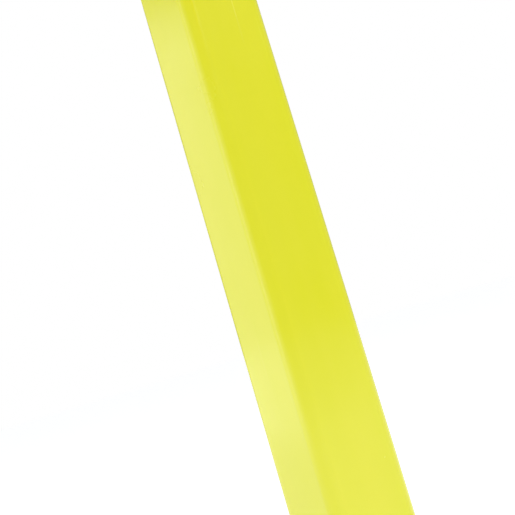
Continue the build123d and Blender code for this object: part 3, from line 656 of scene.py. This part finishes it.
def knob_cover(clamp, axis, material):
    """Smooth domed cover pressed into the middle of a star knob's face."""
    radius, rise, rings, sides = 0.0085, 0.0005, 8, 48
    low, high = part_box(f"{clamp}_clamp_knob")
    middle = (low + high) / 2
    way, side, up = clamp_ways(axis)
    face = high.x if axis == "X" else -low.y
    base = Vector((0, 0, middle.z)) + way * (face - 0.0006)
    points = []
    for i in range(rings):
        share = i / (rings - 1)
        r = radius * math.cos(share * math.pi / 2) + 0.0002
        lift = rise * math.sin(share * math.pi / 2)
        for k in range(sides):
            angle = 2 * math.pi * k / sides
            points.append(base + way * lift + side * r * math.cos(angle) + up * r * math.sin(angle))
    faces = ring_faces(0, rings, sides)
    make_piece(f"{clamp}_knob_cover", points, faces, f"{clamp}_screw", material)


# ================================================================ the sock
ROWS, COLUMNS = 76, 72
SIM_SCALE = 6.0  # the cloth is simulated larger than life, where the solver is steadier
SIM_FRAMES = 90
HELD_FRONT = 0.02  # past the front hoop, where the cloth is tied
HELD_REAR = 0.009  # each side of the rear hoop


def sock_grid():
    """Mid-surface of the taut sock: rows from mouth to tail, columns round it."""
    along = np.linspace(0, 1, ROWS)[:, None]
    angle = (np.arange(COLUMNS) * 2 * math.pi / COLUMNS)[None, :]
    radius = mouth_cloth + (tail_cloth - mouth_cloth) * along
    x = mouth_x + along * SOCK_LENGTH * math.sqrt(1 - taper**2) + 0 * angle
    return np.stack([x, radius * np.sin(angle), sock_z + radius * np.cos(angle)], axis=2)


def grid_faces(rows, columns):
    """Quads of a cloth that closes on itself round the sock, row by row."""
    faces = []
    for i in range(rows - 1):
        for j in range(columns):
            k = (j + 1) % columns
            faces.append((i * columns + j, (i + 1) * columns + j, (i + 1) * columns + k, i * columns + k))
    return faces


def hang(grid):
    """Let the cloth fall from the wire frame and settle, by simulation; returns the settled grid."""
    mesh = bpy.data.meshes.new("hanging")
    origin = np.array([mouth_x, 0, sock_z])
    start = ((grid - origin) * SIM_SCALE).reshape(-1, 3)
    mesh.from_pydata([tuple(p) for p in start], [], grid_faces(ROWS, COLUMNS))
    cloth = bpy.data.objects.new("hanging", mesh)
    bpy.context.scene.collection.objects.link(cloth)
    held = cloth.vertex_groups.new(name="held")
    x = grid[:, 0, 0]
    rows = [i for i in range(ROWS) if x[i] <= front_x + HELD_FRONT or abs(x[i] - rear_x) <= HELD_REAR]
    held.add([i * COLUMNS + j for i in rows for j in range(COLUMNS)], 1.0, "REPLACE")
    modifier = cloth.modifiers.new("cloth", "CLOTH")
    settings = modifier.settings
    settings.quality = 8
    settings.mass = 0.002 * SIM_SCALE
    settings.air_damping = 1.3
    settings.tension_stiffness = 30
    settings.compression_stiffness = 20
    settings.shear_stiffness = 8
    settings.bending_stiffness = 0.8
    settings.tension_damping = settings.compression_damping = settings.shear_damping = 5
    settings.bending_damping = 0.5
    settings.vertex_group_mass = "held"
    settings.pin_stiffness = 50
    modifier.collision_settings.use_self_collision = True
    modifier.collision_settings.self_distance_min = 0.003 * SIM_SCALE
    modifier.collision_settings.use_collision = False
    modifier.point_cache.frame_end = SIM_FRAMES
    scene = bpy.context.scene
    gravity = tuple(scene.gravity)
    scene.gravity = (0, 0, -9.81 * SIM_SCALE)
    scene.frame_end = SIM_FRAMES
    for step in range(1, SIM_FRAMES + 1):
        scene.frame_set(step)
    settled = cloth.evaluated_get(bpy.context.evaluated_depsgraph_get()).to_mesh()
    points = np.empty(len(settled.vertices) * 3)
    settled.vertices.foreach_get("co", points)
    scene.frame_set(1)
    scene.gravity = gravity
    bpy.data.objects.remove(cloth)
    bpy.data.meshes.remove(mesh)
    return points.reshape(ROWS, COLUMNS, 3) / SIM_SCALE + origin


def refine(grid):
    """One Catmull-Clark step on the cloth: closed round the sock, open at both ends."""
    right = np.roll(grid, -1, axis=1)
    across = (grid + right) / 2
    centre = (across[:-1] + across[1:]) / 2
    fine = np.empty((2 * len(grid) - 1, 2 * grid.shape[1], 3))
    fine[1::2, 1::2] = centre
    fine[2:-1:2, 1::2] = (across[1:-1] + (centre[:-1] + centre[1:]) / 2) / 2
    fine[0, 1::2], fine[-1, 1::2] = across[0], across[-1]
    down = (grid[:-1] + grid[1:]) / 2
    beside = (centre + np.roll(centre, 1, axis=1)) / 2
    fine[1::2, 0::2] = (down + beside) / 2
    faces = (beside[:-1] + beside[1:]) / 2
    edges = (across[1:-1] + np.roll(across, 1, axis=1)[1:-1] + down[:-1] + down[1:]) / 4
    fine[2:-1:2, 0::2] = (faces + 2 * edges + grid[1:-1]) / 4
    for end in (0, -1):
        fine[end, 0::2] = (np.roll(grid[end], 1, axis=0) + 6 * grid[end] + right[end]) / 8
    return fine


def surface_at(grid, along, column):
    """Point, outward normal and lengthwise way of the cloth; along is metres of cloth from the mouth."""
    rows, columns = grid.shape[:2]
    row = along / SOCK_LENGTH * (rows - 1)
    inside = min(max(row, 0.0), rows - 1.0)
    i = min(int(inside), rows - 2)
    u = inside - i
    j = int(math.floor(column)) % columns
    k = (j + 1) % columns
    v = column - math.floor(column)
    a, b, c, d = grid[i, j], grid[i, k], grid[i + 1, j], grid[i + 1, k]
    down = (c - a) * (1 - v) + (d - b) * v
    past = (along - inside / (rows - 1) * SOCK_LENGTH) * down / np.linalg.norm(down)
    point = (a * (1 - v) + b * v) * (1 - u) + (c * (1 - v) + d * v) * u + past
    turned = (grid[i, (j + 2) % columns] - grid[i, (j - 1) % columns]) * (1 - u)
    turned = turned + (grid[i + 1, (j + 2) % columns] - grid[i + 1, (j - 1) % columns]) * u
    normal = np.cross(down, turned)
    return point, normal / np.linalg.norm(normal), down / np.linalg.norm(down)


def make_stitches(grid, lines, material, height):
    """Rows of stitches; a line is a list of (along, column) of the stitches' ends, two by two."""
    points, faces = [], []
    sides, rings = 6, 5
    for line in lines:
        for (along_a, column_a), (along_b, column_b) in zip(line[0::2], line[1::2]):
            first, normal, _ = surface_at(grid, along_a, column_a)
            last, _, _ = surface_at(grid, along_b, column_b)
            way = last - first
            side = np.cross(normal, way / np.linalg.norm(way))
            start = len(points)
            for i in range(rings):
                share = i / (rings - 1)
                bow = math.sin(math.pi * share)
                radius = THREAD_RADIUS * (0.45 + 0.55 * bow)
                middle = first + way * share + normal * (height + THREAD_BOW * bow)
                for k in range(sides):
                    angle = 2 * math.pi * k / sides
                    out = side * radius * math.cos(angle) + normal * radius * math.sin(angle)
                    points.append(middle + out)
            faces += ring_faces(start, rings, sides)
    piece = make_piece("sock_stitches", points, faces, None, material)
    blend_sock(piece)
    return piece


def stitch_round(grid, along):
    """Stitches of one line round the sock."""
    columns = grid.shape[1]
    radius = MOUTH_RADIUS - taper * along
    count = int(2 * math.pi * radius / STITCH_PITCH)
    line = []
    for i in range(count):
        line.append((along, i * columns / count))
        line.append((along, (i + STITCH_LENGTH / STITCH_PITCH) * columns / count))
    return line


def stitch_down(grid, offset, column):
    """Stitches of one line from the mouth to the tail, offset metres to one side of the seam."""
    margin = 0.015  # from either end of the sock to the line's
    line = []
    for i in range(int((SOCK_LENGTH - 2 * margin) / STITCH_PITCH)):
        for step in (0, STITCH_LENGTH):
            along = margin + i * STITCH_PITCH + step
            line.append((along, column + seam_shift(grid, along, offset)))
    return line


def seam_shift(grid, along, offset):
    """Columns that an offset in metres round the sock takes at a place along it."""
    radius = MOUTH_RADIUS - taper * along
    return offset / (2 * math.pi * radius) * grid.shape[1]


def open_eyelet_holes(cloth_mesh):
    """Cut the cloth away under each eyelet, with the hole's rim gathered under the eyelet's flange."""
    cleared = 0.0046  # faces nearer than this to an eyelet's middle go
    gathered = 0.012  # edges left nearer than this are drawn on to the hole's rim
    low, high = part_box("sock_eyelets")
    eyelet_x = (low.x + high.x) / 2
    radius = mouth_cloth - taper * (eyelet_x - mouth_x)
    shape = bmesh.new()
    shape.from_mesh(cloth_mesh)
    for k in range(EYELETS):
        angle = math.radians(EYELET_FIRST + 360 / EYELETS * k)
        centre = Vector((eyelet_x, radius * math.cos(angle), sock_z + radius * math.sin(angle)))
        gone = [f for f in shape.faces if (f.calc_center_median() - centre).length < cleared]
        bmesh.ops.delete(shape, geom=gone, context="FACES")
        for vertex in shape.verts:
            reach = vertex.co - centre
            if vertex.is_boundary and reach.length < gathered:
                vertex.co = centre + reach.normalized() * EYELET_HOLE
    shape.to_mesh(cloth_mesh)
    shape.free()


def swing_in(grid):
    """Turn the hanging end a few degrees towards the mast, as it rests once it stops swinging."""
    along = np.linspace(0, SOCK_LENGTH, len(grid))[:, None]
    share = np.clip((along - SWING_START) / SWING_RUN, 0, 1)
    angle = SWING_ANGLE * share * share * (3 - 2 * share)
    x, z = grid[:, :, 0] - rear_x, grid[:, :, 2] - rear_high.z
    turned = grid.copy()
    turned[:, :, 0] = rear_x + x * np.cos(angle) + z * np.sin(angle)
    turned[:, :, 2] = rear_high.z - x * np.sin(angle) + z * np.cos(angle)
    return turned


def sew(grid):
    """Raise the seam tapes and hems on the cloth; returns the points and each row's and column's place."""
    rows, columns = grid.shape[:2]
    seams = [(band * SOCK_LENGTH / BANDS, TAPE_HALF) for band in range(1, BANDS)]
    seams += [(0.0, HEM_WIDTH), (SOCK_LENGTH, HEM_WIDTH)]
    steps = [(sign, step) for sign in (-1, 1) for step in (0, TAPE_EDGE)]
    edges = [middle + sign * (half + step) for middle, half in seams for sign, step in steps]
    along = [SOCK_LENGTH * i / (rows - 1) for i in range(rows)]
    along = sorted(along + [edge for edge in edges if 0 < edge < SOCK_LENGTH])
    bottom = columns // 2
    sides = [bottom + sign * (SEAM_HALF + step) for sign in (-1, 1) for step in (0, SEAM_EDGE)]
    around = sorted([*range(columns), *sides])

    row = np.array(along) / SOCK_LENGTH * (rows - 1)
    i = np.minimum(row.astype(int), rows - 2)
    u = (row - i)[:, None, None]
    lines = grid[i] * (1 - u) + grid[i + 1] * u
    j = np.array(around).astype(int)
    v = (np.array(around) - j)[None, :, None]
    points = lines[:, j] * (1 - v) + lines[:, (j + 1) % columns] * v

    way = np.gradient(lines, axis=0)
    turned = np.roll(lines, -1, axis=1) - np.roll(lines, 1, axis=1)
    normal = np.cross(way, turned)
    normal = normal[:, j] * (1 - v) + normal[:, (j + 1) % columns] * v
    normal /= np.linalg.norm(normal, axis=2, keepdims=True)
    on_row = [any(abs(place - middle) <= half + 1e-9 for middle, half in seams) for place in along]
    on_column = [abs(place - bottom) <= SEAM_HALF + 1e-9 for place in around]
    raised = np.array(on_row)[:, None] | np.array(on_column)[None, :]
    return points + normal * (raised * TAPE_RISE)[:, :, None], along, around


def make_sock(paint):
    """The whole sock as one cloth with its tapes, hems and seam, and its stitches."""
    grid = sock_grid()
    grid = swing_in(hang(grid))
    grid = refine(grid)
    points, along, around = sew(grid)
    rows, columns = points.shape[:2]
    bottom = grid.shape[1] / 2
    mesh = bpy.data.meshes.new("sock_cloth")
    mesh.from_pydata([tuple(p) for p in points.reshape(-1, 3)], [], grid_faces(rows, columns))
    for name in ("orange_cloth", "white_cloth", "webbing"):
        mesh.materials.append(paint[name])
    weave = mesh.uv_layers.new(name=WEAVE)
    width = math.pi * (MOUTH_RADIUS + TAIL_RADIUS) / grid.shape[1]
    places = around + [grid.shape[1]]
    for face in mesh.polygons:
        i, j = divmod(face.index, columns)
        middle = (along[i] + along[i + 1]) / 2
        band = middle / SOCK_LENGTH * BANDS
        off_seam = abs(band - min(max(round(band), 1), BANDS - 1)) * SOCK_LENGTH / BANDS
        taped = off_seam < TAPE_HALF or abs((places[j] + places[j + 1]) / 2 - bottom) < SEAM_HALF
        face.material_index = 2 if taped else int(band) % 2
        face.use_smooth = True
        corners = ((i, j), (i + 1, j), (i + 1, j + 1), (i, j + 1))
        for loop, (down, across) in zip(face.loop_indices, corners):
            weave.data[loop].uv = (places[across] * width, along[down])
    open_eyelet_holes(mesh)
    cloth = bpy.data.objects.new("sock_cloth", mesh)
    bpy.context.scene.collection.objects.link(cloth)
    thicken = cloth.modifiers.new("thickness", "SOLIDIFY")
    thicken.thickness = CLOTH
    thicken.offset = 0
    final = bpy.data.meshes.new_from_object(cloth.evaluated_get(bpy.context.evaluated_depsgraph_get()))
    cloth.modifiers.clear()
    cloth.data = final
    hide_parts("sock_throat", "sock_knee", "sock_tail")
    blend_sock(cloth)

    lines = []
    for band in range(1, BANDS):
        middle = band * SOCK_LENGTH / BANDS
        lines += [stitch_round(grid, middle - STITCH_INSET), stitch_round(grid, middle + STITCH_INSET)]
    for end, sign in ((0.0, 1), (SOCK_LENGTH, -1)):
        lines += [stitch_round(grid, end + sign * inset) for inset in HEM_STITCHES]
    lines += [stitch_down(grid, offset, bottom) for offset in SEAM_STITCHES]
    stitches = make_stitches(grid, lines, paint["stitch"], CLOTH / 2 + TAPE_RISE)
    return cloth, stitches


def blend_sock(piece):
    """Bake the piece's placement into its mesh; the cloth rides on no body."""
    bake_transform(piece)


# ================================================================ build it all
make_camera()
make_studio()
paint = make_materials()

slots = {row["node"]: row["material_slot"] for row in frame["record"]["subparts"]}
for node, piece in frame["nodes"].items():
    slot = slots[node]
    if slot == "sock_cloth":
        slot = "orange_cloth"
    piece.data.materials.clear()
    piece.data.materials.append(paint[slot])

weld_base(paint["weld"])
weld_lugs(paint["weld"])
weld_frame(paint["weld"])
for clamp, axis in (("front", "Y"), ("side", "X"), ("collar", "Y")):
    clamp_thread(clamp, axis, paint["zinc_steel"])
    knob_cover(clamp, axis, paint["rubber"])

sock, stitches = make_sock(paint)
